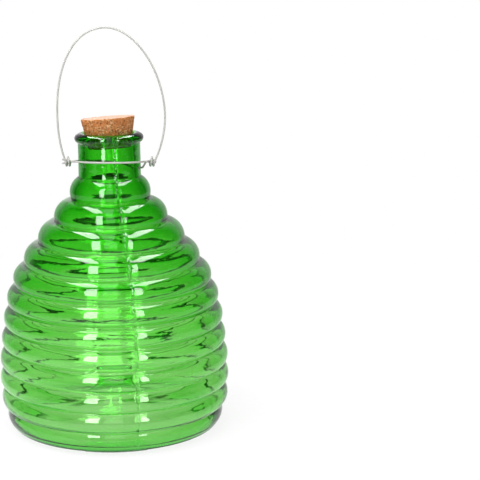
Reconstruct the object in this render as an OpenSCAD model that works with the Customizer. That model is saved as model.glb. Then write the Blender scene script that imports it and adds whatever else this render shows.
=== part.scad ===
// Glass fly trap: a ribbed green bottle with an entry funnel in its base, a tapered cork,
// a wire collar tied round the neck and a wire bail to hang it by.
// Millimetres, +Z up, origin on the bottle's axis at the surface that it stands on, camera side at -Y.

/* [Bottle] */
// Largest diameter, over the ribs
belly_d = 140; // [125:1:155]
// Height of the widest groove
belly_z = 40; // [30:1:50]
// Height where the neck starts
neck_foot_z = 153; // [140:1:170]
// Height of the neck with its lip
neck_h = 26; // [22:0.5:40]
// Height where the side turns into the shoulder
shoulder_z = 94; // [84:1:100]
// Length over which the side turns into the shoulder
shoulder_blend = 8.4; // [6:0.2:12]
// Inward lean of the side between belly and shoulder, mm per mm of height
side_lean = 0.11; // [0.04:0.01:0.16]
// Radius that the shoulder's slope would reach at the neck
shoulder_tip_r = 13; // [9:0.5:15]
// Radius of the corner where the lowest rib meets the base
base_r = 58.5; // [54:0.5:61]
// How fast the side draws in below the belly, 1/mm
foot_draw = 0.002; // [0.001:0.001:0.004]
// Glass thickness in the base and the lowest grooves
glass_wall = 2; // [1.6:0.1:3]

/* [Ribs] */
// Number of ribs
rib_count = 12; // [9:1:14]
// How far a rib bulges out between its grooves
rib_depth = 3.9; // [2.5:0.1:4.4]
// How far the top rib, under the neck, bulges out
top_rib_depth = 2.8; // [1.5:0.1:3.6]
// How far the inside follows a rib, where the glass is thinnest
inner_rib_depth = 3.4; // [2.8:0.1:3.6]
// Growth of the rib spacing towards the neck
rib_growth = 0.05; // [0:0.01:0.12]

/* [Neck and lip] */
// Glass thickness of the neck, which the side thickens to
neck_wall = 3.9; // [3:0.1:5]
// Height of the bead round the lip
lip_h = 5.2; // [4:0.2:7]
// How far the bead stands out from the neck
lip_bead = 2; // [1.2:0.1:2.8]
// Rounding of the top of the lip
lip_crown = 0.6; // [0.3:0.1:1.2]

/* [Base] */
// Height of the three pads under the base
pad_h = 1.2; // [0.8:0.1:4]
// Arc of each pad, degrees
pad_arc = 38; // [24:1:60]
// Width of each pad, outwards
pad_w = 8; // [5:0.5:10]
// Inner radius of the ring that the bottle stands on
foot_ring_r = 44; // [38:0.5:46]
// Radius of the entry hole at the top of the funnel
entry_r = 10; // [8:0.5:13]
// Height of the funnel's top
funnel_top_z = 30; // [24:1:40]

/* [Cork] */
// Diameter of the cork's top
cork_top_d = 32; // [29:0.5:36]
// Diameter of the cork's bottom
cork_bottom_d = 25.5; // [22:0.5:28]
// Length of the cork
cork_len = 18; // [15:0.5:24]
// Depth of the cork in the neck
cork_depth = 8.5; // [6:0.5:12]
// Lean of the cork to the left, degrees
cork_lean = 3; // [0:0.5:4]
// Lean of the cork to the back, degrees
cork_tip = 3.5; // [0:0.5:4]
// Rounding of the cork's edges
cork_edge = 0.5; // [0.2:0.1:1]
// Gap between cork and mouth
cork_gap = 0.45; // [0.3:0.05:0.6]

/* [Wire] */
// Diameter of the wire
wire_d = 1.2; // [0.9:0.1:1.5]
// Gap between the wire and what it lies round
wire_gap = 0.3; // [0.25:0.05:0.5]
// Height of the wire's hinge line above the neck's foot
hinge_rise = 8.5; // [7.5:0.5:10]
// Tilt of the hinge line, right side down, degrees
hinge_tilt = 1.4; // [0:0.2:3]
// Rise of the collar across the front
collar_front_rise = 2; // [0:0.5:3]
// Drop of the collar behind, at the right
collar_back_drop = 4.4; // [0:0.2:4.6]
// Turns of each curl at the bail's ends
curl_turns = 1.5; // [1:0.5:2]
// Spacing of a curl's turns
curl_pitch = 1.8; // [1.75:0.05:2.4]

/* [Bail] */
// Height of the bail's top above the hinge line
bail_h = 79; // [70:1:100]
// Height of the bail's widest place above the hinge line
bail_waist_h = 27.5; // [24:0.5:32]
// How far the bail's bow lies out beyond the neck on the left
bail_left_bow = 11.4; // [11:0.2:16]
// How far the bail's bow lies out beyond the neck on the right
bail_right_bow = 14.8; // [13:0.2:18]
// Fullness of the left side, 2 is an ellipse
bail_left_full = 2.2; // [1.9:0.05:2.6]
// Fullness of the right side, 2 is an ellipse
bail_right_full = 1.85; // [1.7:0.05:2.6]
// Depth below the waist at which the bow would close
bail_close_h = 49; // [46:1:60]
// Lean of the bow to the left, against its hinge line, degrees
bail_lean = 1.4; // [0:0.2:3]

/* [Hidden] */
$fn = 96;

GREEN = [0.13, 0.68, 0.16, 0.75];
CORK = [0.76, 0.52, 0.31];
STEEL = [0.78, 0.79, 0.78];

// Facets of one rib outside and inside, and of the other round stretches
OUT_STEPS = 6;
IN_STEPS = 4;
ROUND_STEPS = 6;
FUNNEL_STEPS = 10;

// Wire: sides of the tube, and rings along each kind of stretch
WIRE_SIDES = 6;
CURL_RINGS = 8;
LOOP_RINGS = 24;
BAIL_RINGS = 40;
LEAD_RINGS = 6;
PIN_RINGS = 5;

// Derived sizes of the bottle
PAD_COUNT = 3;
PAD_INSET = 1;
LEAST_DEPTH = 0.4;
belly_r = belly_d / 2 - rib_depth;
cork_mouth_r = (cork_bottom_d + (cork_top_d - cork_bottom_d) * cork_depth / cork_len) / 2;
mouth_r = cork_mouth_r + cork_gap;
neck_r = mouth_r + neck_wall;
neck_top_z = neck_foot_z + neck_h - lip_crown;
floor_z = pad_h + glass_wall;
body_h = neck_foot_z - pad_h;
inner_corner = 2 * glass_wall;
shoulder_drop = belly_r - side_lean * (neck_foot_z - belly_z) - shoulder_tip_r;

// Derived sizes of the wire
wire_r = wire_d / 2;
hinge_z = neck_foot_z + hinge_rise;
collar_r = neck_r + wire_r + wire_gap;
strand_gap = 0.5;
strand_off = (wire_d + strand_gap) / 2;
curl_play = 0.3;
curl_r = strand_off + wire_d + wire_gap + curl_play;
bail_left = neck_r + bail_left_bow;
bail_right = neck_r + bail_right_bow;

function soft_step(x) = ln(1 + exp(x));

// Radius of the grooves at a height: a leaning side that turns smoothly into the shoulder's slope
function groove_line(z) =
    belly_r - side_lean * max(z - belly_z, 0) - foot_draw * pow(max(belly_z - z, 0), 2)
    - shoulder_drop * soft_step((z - shoulder_z) / shoulder_blend)
        / soft_step((neck_foot_z - shoulder_z) / shoulder_blend);

function groove_z(i) =
    let (u = i / rib_count)
    pad_h + body_h * ((1 - rib_growth) * u + rib_growth * u * u);

function groove(i) =
    i == 0 ? [base_r, pad_h] : [max(neck_r, groove_line(groove_z(i))), groove_z(i)];

// Glass thickness in a groove, square to the side: blown glass thickens towards the neck
function wall(i) = glass_wall + (neck_wall - glass_wall) * pow(i / rib_count, 2);

// The same wall measured level, where the side slopes
function level_wall(i) =
    let (z = groove_z(i))
    wall(i) * norm([1, (groove_line(z + 1) - groove_line(z - 1)) / 2]);

// The inside's ribs flatten as the glass thickens
function inner_depth(i) = max(inner_rib_depth - (wall(i + 1) - glass_wall), LEAST_DEPTH);

function inner_groove(i) =
    i == 0 ? [base_r - inner_corner, floor_z] :
    i == rib_count ? [mouth_r, neck_foot_z] :
    [max(mouth_r, groove(i)[0] - level_wall(i)), groove_z(i)];

// Points of an arc from p to q that bulges to the right of the way by depth, without q
function bulge(p, q, depth, steps) =
    let (
        way = q - p,
        len = norm(way),
        along = way / len,
        out = [along[1], -along[0]],
        r = (len * len / 4 + depth * depth) / (2 * depth),
        mid = (p + q) / 2 - out * (r - depth),
        half = atan2(len / 2, r - depth)
    )
    [for (k = [0 : steps - 1])
        let (a = -half + 2 * half * k / steps)
        mid + r * (cos(a) * out + sin(a) * along)];

// Points of the funnel's flare, a quarter ellipse from the foot ring up to the rim, without its ends
function flare(r_top, z_low) =
    [for (k = [1 : FUNNEL_STEPS - 1])
        let (a = 90 * k / FUNNEL_STEPS)
        [foot_ring_r - (foot_ring_r - r_top) * sin(a), funnel_top_z - (funnel_top_z - z_low) * cos(a)]];

function reversed(list) = [for (k = [len(list) - 1 : -1 : 0]) list[k]];

outside = concat(
    [for (i = [0 : rib_count - 1])
        each bulge(groove(i), groove(i + 1), i == rib_count - 1 ? top_rib_depth : rib_depth, OUT_STEPS)],
    [[neck_r, neck_foot_z]],
    bulge([neck_r, neck_top_z - lip_h], [neck_r, neck_top_z], lip_bead, ROUND_STEPS),
    bulge([neck_r, neck_top_z], [mouth_r, neck_top_z], lip_crown, ROUND_STEPS),
    [[mouth_r, neck_top_z]]);

inside = concat(
    [[foot_ring_r, floor_z]],
    [for (i = [0 : rib_count - 1])
        each bulge(inner_groove(i), inner_groove(i + 1), inner_depth(i), IN_STEPS)],
    [[mouth_r, neck_foot_z]]);

funnel_rim_r = entry_r + glass_wall;
funnel = concat(
    flare(funnel_rim_r, floor_z),
    bulge([funnel_rim_r, funnel_top_z], [entry_r, funnel_top_z], glass_wall / 2, ROUND_STEPS),
    [[entry_r, funnel_top_z]],
    reversed(flare(entry_r, pad_h)),
    [[foot_ring_r, pad_h]]);

module glass_bottle() {
    color(GREEN) {
        rotate_extrude()
            polygon(concat(outside, reversed(inside), funnel));
        for (k = [0 : PAD_COUNT - 1])
            rotate([0, 0, 360 * k / PAD_COUNT - 90 - pad_arc / 2])
                rotate_extrude(angle = pad_arc)
                    translate([base_r - pad_w - PAD_INSET, 0])
                        square([pad_w, pad_h + glass_wall / 2]);
    }
}

module cork_stopper() {
    r0 = cork_bottom_d / 2;
    r1 = cork_top_d / 2;
    color(CORK)
        translate([0, 0, neck_top_z])
            rotate([-cork_tip, -cork_lean, 0])
                translate([0, 0, -cork_depth])
                    rotate_extrude()
                        polygon([
                            [0, 0],
                            [r0 - cork_edge, 0],
                            [r0, cork_edge],
                            [r1, cork_len - cork_edge],
                            [r1 - cork_edge, cork_len],
                            [0, cork_len]]);
}

// Direction of a path at one of its points
function tangent(path, i) =
    let (v = path[min(i + 1, len(path) - 1)] - path[max(i - 1, 0)])
    v / norm(v);

// Side vectors carried along a path without twisting
function level_side(t, side) =
    let (s = side - (side * t) * t)
    s / norm(s);

function sides_along(path, first) =
    [for (i = 0, s = level_side(tangent(path, 0), first);
        i < len(path);
        i = i + 1, s = i < len(path) ? level_side(tangent(path, i), s) : s) s];

// One tube of round wire along a path
module wire(path) {
    n = len(path);
    side = sides_along(path, [0.1, 0.2, 1]);
    points = [for (i = [0 : n - 1])
        let (t = tangent(path, i), up = cross(t, side[i]))
        for (k = [0 : WIRE_SIDES - 1])
            let (a = 360 * k / WIRE_SIDES)
            path[i] + wire_r * (cos(a) * side[i] + sin(a) * up)];
    skin = [for (i = [0 : n - 2], k = [0 : WIRE_SIDES - 1])
        let (
            a = i * WIRE_SIDES + k,
            b = i * WIRE_SIDES + (k + 1) % WIRE_SIDES)
        each [[a, a + WIRE_SIDES, b], [b, a + WIRE_SIDES, b + WIRE_SIDES]]];
    last = (n - 1) * WIRE_SIDES;
    ends = [for (k = [1 : WIRE_SIDES - 2])
        each [[0, k, k + 1], [last, last + k + 1, last + k]]];
    polyhedron(points, concat(skin, ends));
}

// Least gap between stretches of one wire that lie further apart along it than three diameters
function lengths(path) =
    [for (i = 0, s = 0; i < len(path); i = i + 1, s = i < len(path) ? s + norm(path[i] - path[i - 1]) : s) s];

function least_gap(path) =
    let (s = lengths(path))
    min([for (i = [0 : len(path) - 2], j = [i + 1 : len(path) - 1])
        if (s[j] - s[i] > 3 * wire_d) norm(path[j] - path[i])]) - wire_d;

// Cubic curve from p to q that leaves along a and arrives along b, without its ends
function lead(p, a, b, q) =
    [for (k = [1 : LEAD_RINGS - 1])
        let (t = k / LEAD_RINGS, u = 1 - t)
        u * u * u * p + 3 * u * u * t * (p + a) + 3 * u * t * t * (q - b) + t * t * t * q];

// Bail, in the hinge line's own frame: a super-ellipse whose two ends curl round the collar's pins
function bail_x(h, reach, full) =
    let (v = h > bail_waist_h ? (h - bail_waist_h) / (bail_h - bail_waist_h)
        : (bail_waist_h - h) / bail_close_h)
    reach * pow(max(1 - pow(v, full), 0), 1 / full);

function curl(x, way) =
    [for (k = [0 : CURL_RINGS * curl_turns])
        let (a = 360 * k / CURL_RINGS)
        [x + way * curl_pitch * a / 360, -curl_r * cos(a), -curl_r * sin(a)]];

left_end_x = -bail_x(0, bail_left, bail_left_full);
right_end_x = bail_x(0, bail_right, bail_right_full);

// Heights along the bail, closer together towards its top, where it runs level
function bail_side(reach, full) =
    [for (k = [1 : BAIL_RINGS / 2 - 1])
        let (h = bail_h * sin(90 * k / (BAIL_RINGS / 2)))
        [bail_x(h, reach, full) - h * tan(bail_lean), -curl_r, h]];

bail_path = concat(
    reversed(curl(left_end_x, 1)),
    bail_side(-bail_left, bail_left_full),
    [[-bail_h * tan(bail_lean), -curl_r, bail_h]],
    reversed(bail_side(bail_right, bail_right_full)),
    curl(right_end_x, -1));

// Collar: one wire, from its left tip round the front, through the right loop and round the back
lead_angle = 28;
lead_pull = 6;
pin_pull = 2.5;
pin_reach = 3.4;
pin_in = neck_r + pin_reach;
tail_len = 2;
tail_splay = 0.3;

function collar_z(az) =
    az < 0 ? collar_front_rise * sin(-az) : -collar_back_drop * (180 - az) / (180 - lead_angle);

function collar_point(az) = [collar_r * cos(az), collar_r * sin(az), collar_z(az)];

function collar_way(az, step) =
    let (v = collar_point(az + step) - collar_point(az))
    v / norm(v);

function collar_arc(a0, a1) =
    [for (k = [0 : LOOP_RINGS / 2]) collar_point(a0 + (a1 - a0) * k / (LOOP_RINGS / 2))];

// Strand of a pin: from beside the hinge line at the neck it twists a quarter turn towards the end
function pin_strand(x0, x1, from, to) =
    [for (k = [0 : PIN_RINGS])
        let (a = from + (to - from) * k / PIN_RINGS)
        [x0 + (x1 - x0) * k / PIN_RINGS, strand_off * cos(a), strand_off * sin(a)]];

// Cut end of a strand, a little past the bail's leg and turned away from the hinge line
function tail(x, up) = [[x - tail_len, 0, up * (strand_off + tail_splay)]];

// Half turn that joins the two strands at the right pin's end
function hairpin(x) =
    [for (a = [30 : 30 : 150]) [x + strand_off * sin(a), 0, strand_off * cos(a)]];

front_right = pin_strand(pin_in, right_end_x, 180, 90);
back_right = pin_strand(pin_in, right_end_x, 360, 270);
front_left = pin_strand(-pin_in, left_end_x, 180, 90);
back_left = pin_strand(-pin_in, left_end_x, 360, 270);

function first(list) = list[0];

neck_path = concat(
    tail(left_end_x, 1),
    reversed(front_left),
    lead(first(front_left), [pin_pull, 0, 0], lead_pull * collar_way(-180 + lead_angle, 1),
        collar_point(-180 + lead_angle)),
    collar_arc(-180 + lead_angle, -lead_angle),
    lead(collar_point(-lead_angle), lead_pull * collar_way(-lead_angle, 1), [pin_pull, 0, 0],
        first(front_right)),
    front_right,
    hairpin(right_end_x),
    reversed(back_right),
    lead(first(back_right), [-pin_pull, 0, -collar_back_drop], lead_pull * collar_way(lead_angle, 1),
        collar_point(lead_angle)),
    collar_arc(lead_angle, 180 - lead_angle),
    lead(collar_point(180 - lead_angle), lead_pull * collar_way(180 - lead_angle, 1), [-pin_pull, 0, 0],
        first(back_left)),
    back_left,
    tail(left_end_x, -1));

module on_hinge() {
    translate([0, 0, hinge_z])
        rotate([0, hinge_tilt, 0])
            children();
}

module neck_wire() {
    echo(str("neck_wire least gap to itself ", least_gap(neck_path), " mm"));
    color(STEEL)
        on_hinge()
            wire(neck_path);
}

module bail_wire() {
    echo(str("bail_wire least gap to itself ", least_gap(bail_path), " mm"));
    color(STEEL)
        on_hinge()
            wire(bail_path);
}

glass_bottle();
cork_stopper();
neck_wire();
bail_wire();
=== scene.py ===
"""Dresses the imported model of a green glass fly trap.

The ribbed bottle, its cork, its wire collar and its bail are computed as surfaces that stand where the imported
solids are, each with a procedural finish, and a small white studio is set up round them.
"""

import math
from types import SimpleNamespace

import bpy
import numpy as np
from bpy.props import FloatProperty, FloatVectorProperty, IntProperty, PointerProperty
from mathutils import Matrix, Vector


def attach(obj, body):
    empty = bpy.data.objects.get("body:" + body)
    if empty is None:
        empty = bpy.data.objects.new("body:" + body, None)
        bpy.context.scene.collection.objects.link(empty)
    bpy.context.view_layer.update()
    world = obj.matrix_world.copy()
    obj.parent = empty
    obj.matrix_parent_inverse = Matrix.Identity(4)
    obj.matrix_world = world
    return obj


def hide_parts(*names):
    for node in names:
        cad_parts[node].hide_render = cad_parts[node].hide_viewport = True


bl_info = {
    "name": "Glass Fly Trap",
    "version": (1, 0, 0),
    "blender": (4, 5, 0),
    "location": "View3D > Sidebar > Fly Trap",
    "description": "Builds a ribbed green glass fly trap with its cork, wire collar and bail",
    "category": "Add Mesh",
}

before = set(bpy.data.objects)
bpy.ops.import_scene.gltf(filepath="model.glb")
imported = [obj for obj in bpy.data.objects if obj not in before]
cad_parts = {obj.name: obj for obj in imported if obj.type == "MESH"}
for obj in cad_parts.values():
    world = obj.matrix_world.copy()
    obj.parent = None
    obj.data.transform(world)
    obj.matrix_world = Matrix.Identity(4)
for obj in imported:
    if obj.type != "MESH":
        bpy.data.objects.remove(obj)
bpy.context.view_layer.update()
MM = 0.001
TURN = 2 * math.pi


# Settings

def share(name, description, default, precision=4, **options):
    """A plain number, or one with the given options."""
    return FloatProperty(name=name, description=description, default=default, precision=precision, **options)


def length(name, description, millimetres):
    """A length, kept in metres as Blender does."""
    return share(name, description, millimetres * MM, 5, min=0.0, subtype="DISTANCE", unit="LENGTH")


def angle(name, description, degrees):
    """An angle, kept in radians as Blender does."""
    return share(name, description, math.radians(degrees), subtype="ANGLE", unit="ROTATION")


def colour(name, description, default):
    """A linear colour."""
    return FloatVectorProperty(
        name=name, description=description, default=default, size=3, min=0.0, max=1.0, subtype="COLOR",
    )


class GlassSettings(bpy.types.PropertyGroup):
    """Sizes of the bottle and the look of its glass."""

    belly_d: length("Belly diameter", "Largest diameter, over the ribs", 140)
    belly_z: length("Belly height", "Height of the widest groove", 40)
    neck_foot_z: length("Neck foot", "Height where the neck starts", 153)
    neck_h: length("Neck height", "Height of the neck with its lip", 26)
    shoulder_z: length("Shoulder height", "Height of the turn into the shoulder", 94)
    shoulder_blend: length("Shoulder blend", "Length of the turn into the shoulder", 8.4)
    side_lean: share("Side lean", "Inward lean of the side above the belly", 0.11)
    shoulder_tip_r: length("Shoulder tip", "Radius of the shoulder's slope at the neck", 13)
    base_r: length("Base radius", "Radius of the base's corner", 58.5)
    foot_draw: share("Foot draw", "Draw of the side below the belly, per millimetre", 0.002)
    glass_wall: length("Glass wall", "Glass thickness in the grooves, low down", 1.2)
    neck_wall: length("Neck wall", "Glass thickness of the neck", 3.9)
    wall_power: share("Wall power", "How late the wall thickens on its way up", 1.6)
    heel: length("Heel", "Extra glass in the corner of the base", 0.85)
    foot_line: length("Foot line", "Height of the mould line round the foot", 0.3)
    foot_line_up: length("Foot line height", "Place of the mould line above the base", 1.6)
    rib_count: IntProperty(name="Ribs", description="Number of ribs", default=12, min=3)
    rib_depth: length("Rib depth", "Bulge of a rib between its grooves", 3.9)
    top_rib_depth: length("Top rib depth", "Bulge of the rib under the neck", 2.8)
    rib_growth: share("Rib growth", "Growth of the rib spacing towards the neck", 0.05)
    neck_r: length("Neck radius", "Outer radius of the neck", 18.635)
    mouth_r: length("Mouth radius", "Inner radius of the neck", 14.735)
    lip_h: length("Lip height", "Height of the bead round the lip", 5.2)
    lip_bead: length("Lip bead", "Bulge of the bead round the lip", 2)
    lip_crown: length("Lip crown", "Rounding of the top of the lip", 0.6)
    pad_h: length("Pad height", "Height of the pads under the base", 1.2)
    pad_w: length("Pad width", "Width of each pad, outwards", 8)
    pad_inset: length("Pad inset", "Distance of the pads from the base's corner", 1)
    pad_arc: angle("Pad arc", "Arc of each pad", 38)
    foot_ring_r: length("Foot ring", "Inner radius of the ring under the base", 44)
    entry_r: length("Entry radius", "Radius of the hole at the funnel's top", 10)
    funnel_top_z: length("Funnel height", "Height of the funnel's top", 30)
    groove_round: length("Groove rounding", "Softness of the grooves outside", 0.35)
    inner_round: length("Inner rounding", "Softness of the inside at the shoulder", 2.8)
    neck_round: length("Neck rounding", "Softness of the inside at the neck's foot", 2.4)
    low_round: length("Low rounding", "Softness of the inside low down", 1.2)
    ripple: length("Inner ripple", "Unevenness of the inside", 0.05)
    wrinkle: length("Inner wrinkle", "Fine creases of the inside", 0.01)
    peel: share("Inner peel", "Strength of the inside's fine orange peel", 0.06)
    seam_azimuth: angle("Seam azimuth", "Place of the mould seam, from the +X side", -78.8)
    seam_height: length("Seam height", "Height of the mould seam", 0.55)
    seam_width: length("Seam width", "Half width of the mould seam", 0.4)
    tint: colour("Tint", "Colour of light past the surface", (0.96, 1.0, 0.94))
    body_colour: colour("Body colour", "Colour of light through the glass", (0.27, 0.87, 0.03))
    density: share("Density", "Light taken up by the glass, per metre", 560)


class CorkSettings(bpy.types.PropertyGroup):
    """Sizes of the cork and its colours."""

    top_d: length("Top diameter", "Diameter of the cork's top", 32)
    bottom_d: length("Bottom diameter", "Diameter of the cork's bottom", 25.5)
    cork_len: length("Length", "Length of the cork", 18)
    depth: length("Depth", "Depth of the cork in the neck", 8.5)
    lean: angle("Lean", "Lean of the cork to the left", 3)
    tip: angle("Tip", "Lean of the cork to the back", 3.5)
    edge: length("Edge", "Rounding of the cork's edges", 0.7)
    rough: length("Roughness", "Depth of the dents in the surface", 0.16)
    pale: colour("Pale granules", "Colour of the palest granules", (0.86, 0.49, 0.235))
    warm: colour("Warm granules", "Colour of most granules", (0.65, 0.25, 0.083))
    # Painted light: the paler colour of the upward-facing top, standing in for light falling from above
    painted_light: colour("Sanded top", "Colour of the sanded top face", (0.77, 0.60, 0.50))
    dark: colour("Dark granules", "Colour of the bark specks", (0.16, 0.055, 0.02))


class WireSettings(bpy.types.PropertyGroup):
    """Sizes of the collar and the bail, and the look of their wire."""

    wire_d: length("Wire diameter", "Diameter of the wire", 1.2)
    hinge_z: length("Hinge height", "Height of the wire's hinge line", 161.5)
    hinge_tilt: angle("Hinge tilt", "Tilt of the hinge line, right side down", 1.4)
    wire_gap: length("Gap", "Gap between the wire and what it lies round", 0.3)
    strand_gap: length("Strand gap", "Gap between the two strands of a pin", 0.5)
    curl_play: length("Curl play", "Play of the bail's curls round the pins", 0.3)
    curl_turns: share("Curl turns", "Turns of each curl at the bail's ends", 1.5)
    curl_pitch: length("Curl pitch", "Spacing of a curl's turns", 1.8)
    front_rise: length("Front rise", "Rise of the collar across the front", 2)
    back_drop: length("Back drop", "Drop of the collar behind, at the right", 4.4)
    bail_h: length("Bail height", "Height of the bail's top above the hinge", 79)
    waist_h: length("Waist height", "Height of the bail's widest place above the hinge", 27.5)
    close_h: length("Closing depth", "Depth below the waist at which the bow would close", 49)
    left_bow: length("Left bow", "Reach of the bow beyond the neck, left", 11.4)
    right_bow: length("Right bow", "Reach of the bow beyond the neck, right", 14.8)
    left_full: share("Left fullness", "Fullness of the left side, 2 is an ellipse", 2.2)
    right_full: share("Right fullness", "Fullness of the right side, 2 is an ellipse", 1.85)
    bail_lean: angle("Bail lean", "Lean of the bow to the left", 1.4)
    bright: colour("Bright zinc", "Colour of the bright zinc", (0.52, 0.515, 0.485))
    dull: colour("Dull zinc", "Colour of the dull zinc", (0.42, 0.415, 0.39))


class StageSettings(bpy.types.PropertyGroup):
    """Camera, floor and light of the studio."""

    camera_back: length("Camera distance", "Distance of the camera in front of the axis", 835.5)
    camera_up: length("Camera height", "Height of the camera", 286.1)
    camera_side: length("Camera offset", "Distance of the camera to the right", 1.61)
    aim_up: length("Aim height", "Height that the camera is aimed at", 113.7)
    roll: angle("Roll", "Roll of the camera, clockwise", 1.365)
    lens: FloatProperty(name="Lens", description="Focal length", default=106.37, unit="CAMERA")
    shift: share("Shift", "Sideways shift of the picture, as a share of its width", 0.2625)
    floor_front: length("Floor front", "Reach of the floor in front", 650)
    floor_side: length("Floor side", "Reach of the floor to each side and the back", 900)
    floor_colour: colour("Floor colour", "Colour of the floor", (0.90, 0.90, 0.90))
    fill: share("Fill light", "Light of the white surroundings on the object", 0.55)
    key: share("Key light", "Brightness of the large overhead lamp", 7.0)
    dark_edge: share("Dark edge", "Where the white backdrop ends, as the way towards the back", 0.5)
    front_level: share("Front level", "How bright the studio is behind the camera", 0.08)
    middle_level: share("Middle level", "How bright the backdrop's middle is through the glass", 0.88)
    middle_at: share("Middle place", "Where the backdrop is brightest, to the right of its middle", -0.08)
    side_level: share("Side level", "How bright the backdrop's sides are through the glass", 0.5)
    edge_level: share("Edge level", "How bright the backdrop's sides are in reflections", 0.6)
    top_level: share("Top level", "How bright the ceiling is", 0.15)


SETTINGS = {
    "flytrap_glass": GlassSettings,
    "flytrap_cork": CorkSettings,
    "flytrap_wire": WireSettings,
    "flytrap_stage": StageSettings,
}


def in_millimetres(settings):
    """A settings group's values by name, with every length in millimetres."""
    values = {}
    for key in type(settings).__annotations__:
        value, unit = getattr(settings, key), getattr(settings.bl_rna.properties[key], "unit", "")
        values[key] = value / MM if unit == "LENGTH" else value
    return SimpleNamespace(**values)


# Surfaces

GAUSSIAN_REACH = 3  # widths on each side over which a Gaussian is summed


def ring_surface(points, poles=None):
    """Vertices and faces of rings of points, closed round on themselves or by a fan to a pole at each end."""
    rows, columns = points.shape[:2]
    vertices = points.reshape(-1, 3)
    here = np.arange(rows * columns).reshape(rows, columns)
    beside = np.roll(here, -1, 1)
    quads = np.stack([here, beside, np.roll(beside, -1, 0), np.roll(here, -1, 0)], -1)
    if poles is None:
        return vertices, quads.reshape(-1, 4).tolist()
    first, last = np.full(columns, rows * columns), np.full(columns, rows * columns + 1)
    fans = np.hstack([[first, beside[0], here[0]], [last, here[-1], beside[-1]]]).T
    return np.vstack([vertices, poles]), quads[:-1].reshape(-1, 4).tolist() + fans.tolist()


def add_object(name, data):
    """A new object of the scene that holds the given data."""
    holder = bpy.data.objects.new(name, data)
    bpy.context.scene.collection.objects.link(holder)
    return holder


def add_piece(name, surface, material, body, node, shares=None):
    """Makes a smooth mesh object of a surface in millimetres, which stands for a CAD node on its body.

    shares holds what the material reads at each vertex, by attribute name. The faces are turned outwards
    where the signed volume, a sixth of the sum of a . (b x c) over all triangles, is negative."""
    vertices, faces = surface
    mesh = bpy.data.meshes.new(name)
    mesh.from_pydata((vertices * MM).tolist(), [], faces)
    mesh.calc_loop_triangles()
    corners = np.zeros(len(mesh.loop_triangles) * 3, np.int32)
    mesh.loop_triangles.foreach_get("vertices", corners)
    a, b, c = (vertices[corners.reshape(-1, 3)[:, k]] for k in range(3))
    if np.einsum("ij,ij->", a, np.cross(b, c)) < 0:
        mesh.flip_normals()
    mesh.shade_smooth()
    for key, values in (shares or {}).items():
        mesh.attributes.new(key, "FLOAT", "POINT").data.foreach_set("value", values)
    mesh.materials.append(material)
    if mesh.validate():
        raise RuntimeError(f"{name} has faces that Blender had to mend")
    piece = add_object(name, mesh)
    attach(piece, body)
    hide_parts(node)


def waves(across, along, turns, lengths, count, seed):
    """Unevenness of about unit height: a sum of cosines with whole numbers of waves round the bottle.

    Each wave is cos(turns x azimuth + 2 pi x distance / length + phase), summed as two matrix products."""
    rng = np.random.default_rng(seed)
    m = rng.integers(turns[0], turns[1] + 1, count) * rng.choice([-1, 1], count)
    q = TURN / rng.uniform(lengths[0], lengths[1], count)
    phase = rng.uniform(0, TURN, count)
    lengthways = np.outer(along, q) + phase
    round_about = np.outer(m, across)
    total = np.cos(lengthways) @ np.cos(round_about) - np.sin(lengthways) @ np.sin(round_about)
    return total * (2 / count) ** 0.5


def fade(value, start, over):
    """0 up to start, 1 beyond start + over, and 3 x squared less 2 x cubed between, with x from 0 to 1."""
    x = np.clip((value - start) / over, 0, 1)
    return x * x * (3 - 2 * x)


def right_of(way):
    """Unit vectors to the right of directions in a plane."""
    return np.stack([way[:, 1], -way[:, 0]], 1) / np.hypot(*way.T)[:, None]


def bulge(p, q, depth, steps):
    """Points from p to q, without q, on the circle's arc that stands out by depth to the right of the way."""
    p, q = np.asarray(p, float), np.asarray(q, float)
    way = q - p
    span = np.hypot(*way)
    along = way / span
    out = np.array([along[1], -along[0]])
    radius = (span**2 / 4 + depth**2) / (2 * depth)
    middle = (p + q) / 2 - out * (radius - depth)
    half = math.atan2(span / 2, radius - depth)
    a = np.linspace(-half, half, steps, endpoint=False)[:, None]
    return middle + radius * (np.cos(a) * out + np.sin(a) * along)


def even(path, step, sigma):
    """A path at even steps, its corners softened over a length of about sigma, with its ends kept."""
    way = np.concatenate([[0], np.cumsum(np.linalg.norm(np.diff(path, axis=0), axis=1))])
    s = np.linspace(0, way[-1], int(way[-1] / step))
    line = np.stack([np.interp(s, way, column) for column in path.T], 1)
    reach = int(GAUSSIAN_REACH * sigma / step) + 1
    weights = np.exp(-((np.arange(-reach, reach + 1) * step / sigma) ** 2) / 2)
    spread = np.vstack([2 * line[0] - line[reach:0:-1], line, 2 * line[-1] - line[-2:-reach - 2:-1]])
    return np.stack([np.convolve(column, weights / weights.sum(), "valid") for column in spread.T], 1)


# Bottle, with lengths in millimetres

ARC_STEPS = 40
INSIDE_STEP = 0.15
SECTION_STEP, SECTION_ROWS = 0.12, 500  # spacing of the section's points, and how many are kept
BEND_WEIGHT, BEND_LIMIT = 9, 2.5  # more points where the section bends
FOOT_WEIGHT, FOOT_BAND = 3, 0.3  # more points on the foot ring
HEEL_HEIGHT = 9
FOOT_LINE_WIDTH = 0.35
WAVY_BLEND = 2.0
COLUMNS = 180
SEAM_COLUMNS = (-1.7, -1.0, -0.55, -0.22, 0.0, 0.22, 0.55, 1.0, 1.7)  # beside a seam, at the belly
SEAM_ROOM = 0.9  # without even columns beside a seam, as a share of their spacing
SEAM_WANDER = 0.3
SEAM_MEAN, SEAM_SWING = 0.8, 0.45  # a seam's strength, and how uneven it is
OUTER_INSET, OUTER_WAVE = 0.08, 0.03  # the outside lies in, so that its waves stay inside the solid
CALM = 0.15  # share of the inside's waves at the neck
PAD_COUNT = 3

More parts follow.
